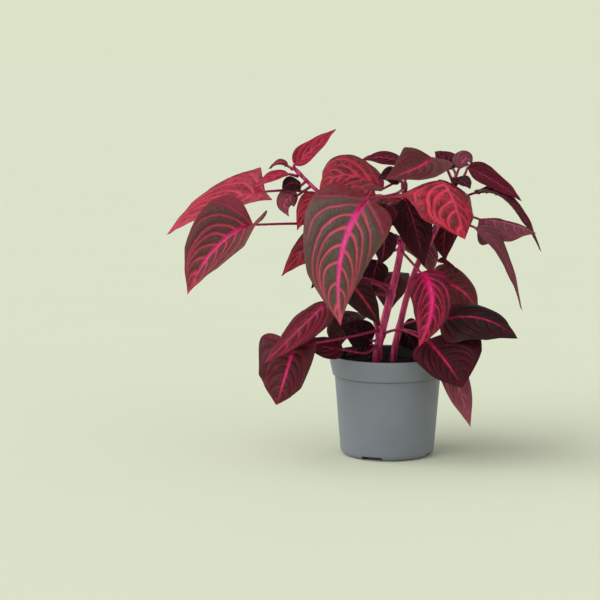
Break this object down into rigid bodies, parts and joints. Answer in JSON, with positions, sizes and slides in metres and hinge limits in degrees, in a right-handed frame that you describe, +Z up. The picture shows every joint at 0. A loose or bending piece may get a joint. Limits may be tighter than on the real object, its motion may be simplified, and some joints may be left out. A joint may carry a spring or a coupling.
{
  "type": "potted bloodleaf plant",
  "caption": "Bushy bloodleaf plant with heart-shaped red and brown-green leaves, pink veins and magenta stems, standing in a round grey nursery pot.",
  "frame": {"origin": "centre of the pot's flat base", "axes": "+Z up along the pot's axis, -Y towards the side with the largest leaf, +X to its right"},
  "size_m": [0.404, 0.2682, 0.36],
  "materials": {
    "pot_grey": "moulded matt grey",
    "soil_dark": "crumbly, moist",
    "stem_magenta": "smooth, satin, translucent skin",
    "leaf_red": "satin, veined",
    "leaf_brown": "satin, veined",
    "leaf_dark": "satin, veined"
  },
  "bodies": {
    "root": {"pot": "pot_grey", "soil": "soil_dark", "stem_main": "stem_magenta", "stem_right": "stem_magenta", "stem_back": "stem_magenta", "leaf_front_large": "leaf_brown", "leaf_left_front": "leaf_brown", "leaf_left_upper": "leaf_red", "leaf_behind_front": "leaf_red", "leaf_tip_left_up": "leaf_red", "leaf_tip_left_low": "leaf_red", "leaf_tip_left_back": "leaf_dark", "leaf_left_bud": "leaf_dark", "leaf_left_pale": "leaf_brown", "leaf_left_under": "leaf_red", "leaf_top": "leaf_brown", "leaf_right_red": "leaf_red", "leaf_tip_right_dark": "leaf_dark", "leaf_tip_right_grey": "leaf_brown", "leaf_right_wine": "leaf_red", "leaf_right_arched": "leaf_red", "leaf_right_small": "leaf_dark", "leaf_right_flat": "leaf_brown", "leaf_right_hanging": "leaf_brown", "leaf_centre_pink": "leaf_red", "leaf_centre_behind": "leaf_dark", "leaf_right_low": "leaf_dark", "leaf_low_right": "leaf_dark", "leaf_low_right_behind": "leaf_red", "leaf_left_arched": "leaf_red", "leaf_left_round": "leaf_brown", "leaf_left_rim": "leaf_dark", "leaf_left_inner": "leaf_red", "leaf_inner_vein": "leaf_brown", "leaf_inner_left": "leaf_dark", "leaf_low_left_dark": "leaf_dark", "leaf_low_back_right": "leaf_dark", "leaf_low_back_left": "leaf_dark", "leaf_inner_black": "leaf_dark", "leaf_inner_brown": "leaf_dark", "leaf_inner_red": "leaf_red", "leaf_inner_right": "leaf_red", "leaf_right_curl": "leaf_dark", "leaf_top_small": "leaf_red", "leaf_top_dark": "leaf_dark", "leaf_left_hidden": "leaf_dark", "leaf_back_top": "leaf_red", "leaf_back_top_left": "leaf_red", "leaf_back_right": "leaf_brown", "leaf_back_left": "leaf_brown", "leaf_back_low": "leaf_dark", "leaf_back_low_right": "leaf_dark", "leaf_back_rim": "leaf_dark", "leaf_back_tip": "leaf_red"}
  },
  "joints": []
}
